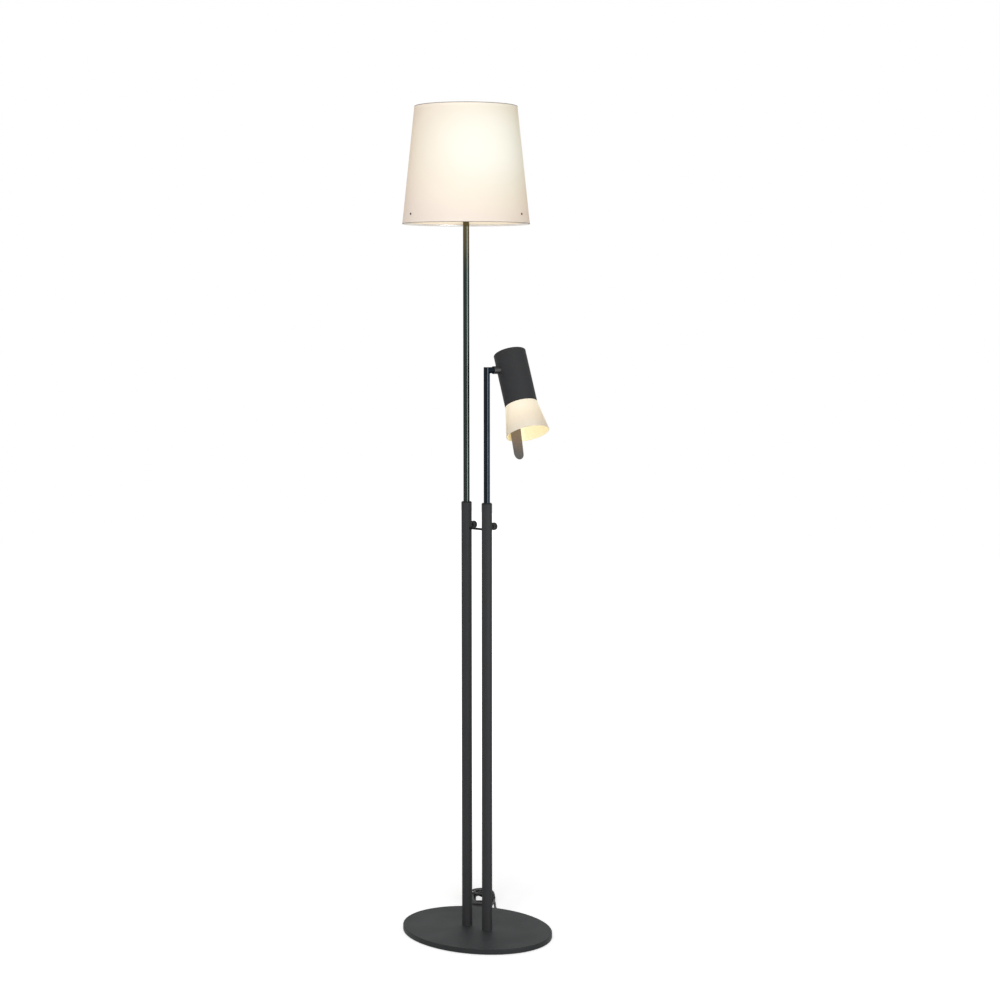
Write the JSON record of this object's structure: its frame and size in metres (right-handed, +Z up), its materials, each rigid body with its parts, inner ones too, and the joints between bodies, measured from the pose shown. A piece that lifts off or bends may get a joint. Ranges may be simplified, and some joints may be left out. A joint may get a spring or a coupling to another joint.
{
  "type": "floor lamp",
  "caption": "Floor lamp with an open conical shade on one telescopic stem and a tilting reading head with an opal diffuser on a second, on an oval weighted base.",
  "frame": {"origin": "on the floor under the middle of the oval base", "axes": "+X from the main post to the reading post, +Y to the rear where the clamp knobs and the cord are, +Z up"},
  "size_m": [0.3594, 0.3369, 1.598],
  "materials": {
    "base_paint": "fine textured powder coat",
    "post_paint": "satin powder coat",
    "head_paint": "matt powder coat",
    "black_chrome": "mirror gloss black chrome",
    "felt": "felt pad",
    "zinc_steel": "zinc plated",
    "black_steel": "black oxide",
    "nylon": "satin moulded",
    "white_plastic": "moulded",
    "black_plastic": "fine grain",
    "knob": "knurled, satin",
    "brass": "turned",
    "cord": "smooth sheath",
    "shade_cloth": "plain laminated cloth",
    "opal": "opal satin",
    "lamp_glass": "frosted",
    "handle_grey": "satin"
  },
  "bodies": {
    "base": {"base_plate": "base_paint", "base_feet": "felt", "base_cover": "black_steel", "cover_screws": "zinc_steel", "terminal_block": "white_plastic", "base_leads": "cord", "strain_relief": "black_plastic", "main_post_tube": "post_paint", "reading_post_tube": "post_paint", "post_feet": "zinc_steel", "post_nuts": "zinc_steel", "guide_bushes": "nylon", "bridge_bar": "post_paint", "clamp_bosses": "post_paint", "main_lower_lead": "cord", "reading_lower_lead": "cord", "power_cord": "cord", "cord_hank": "cord", "plug_body": "black_plastic", "plug_pins": "brass"},
    "main_clamp": {"main_clamp_pad": "brass", "main_clamp_knob": "knob"},
    "reading_clamp": {"reading_clamp_pad": "brass", "reading_clamp_knob": "knob"},
    "main_carriage": {"main_glide": "nylon"},
    "main_stem": {"main_rod": "black_chrome", "main_rod_clips": "zinc_steel", "main_rod_lead": "cord", "main_shade": "shade_cloth", "shade_rings": "zinc_steel", "shade_carrier": "black_steel", "shade_screws": "black_steel", "shade_nuts": "zinc_steel", "nipple_nut": "zinc_steel", "holder_cap": "black_plastic", "holder_skirt": "black_plastic", "turn_switch": "white_plastic", "main_lamp_cap": "brass", "main_lamp_glass": "lamp_glass"},
    "main_switch": {"switch_knob": "black_plastic"},
    "reading_carriage": {"reading_glide": "nylon"},
    "reading_stem": {"reading_rod": "black_chrome", "reading_rod_clips": "zinc_steel", "reading_rod_lead": "cord", "pivot_tube": "zinc_steel", "pivot_nut": "zinc_steel"},
    "reading_head": {"pivot_collar": "black_chrome", "pivot_saddle": "black_plastic", "head_shell": "head_paint", "head_end_cap": "black_plastic", "push_switch": "white_plastic", "head_bracket": "zinc_steel", "long_screws": "zinc_steel", "small_lampholder": "white_plastic", "candle_cap": "brass", "candle_glass": "lamp_glass", "diffuser": "opal", "handle": "handle_grey", "handle_screws": "zinc_steel"},
    "head_button": {"push_button": "black_plastic"}
  },
  "joints": [
    {"name": "main_clamp_turn", "type": "hinge", "parent": "base", "child": "main_clamp", "pos_m": [-0.026, 0, 0.801], "axis": [0, 1, 0], "range_deg": [0, 90]},
    {"name": "main_height", "type": "slide", "parent": "base", "child": "main_carriage", "axis": [0, 0, 1], "range_m": [-0.13, 0.1], "deforming": ["main_lower_lead"]},
    {"name": "main_turn", "type": "hinge", "parent": "main_carriage", "child": "main_stem", "pos_m": [-0.026, 0, 0.56], "axis": [0, 0, 1], "range_deg": [-170, 170]},
    {"name": "reading_clamp_turn", "type": "hinge", "parent": "base", "child": "reading_clamp", "pos_m": [0.026, 0, 0.801], "axis": [0, 1, 0], "range_deg": [0, 90]},
    {"name": "reading_height", "type": "slide", "parent": "base", "child": "reading_carriage", "axis": [0, 0, 1], "range_m": [-0.12, 0.08], "deforming": ["reading_lower_lead"]},
    {"name": "reading_turn", "type": "hinge", "parent": "reading_carriage", "child": "reading_stem", "pos_m": [0.026, 0, 0.56], "axis": [0, 0, 1], "range_deg": [-165, 25]},
    {"name": "main_switch_turn", "type": "hinge", "parent": "main_stem", "child": "main_switch", "pos_m": [-0.026, 0, 1.4045], "axis": [0.6691, -0.7431, 0], "range_deg": [0, 90]},
    {"name": "head_tilt", "type": "hinge", "parent": "reading_stem", "child": "reading_head", "pos_m": [0.04611, 0.05408, 1.1006], "axis": [-0.3486, -0.9373, 0], "range_deg": [-115, 65]},
    {"name": "head_switch_press", "type": "slide", "parent": "reading_head", "child": "head_button", "axis": [0.402, -0.1495, -0.9033], "range_m": [0, 0.002], "stiffness_N_per_m": 400}
  ]
}
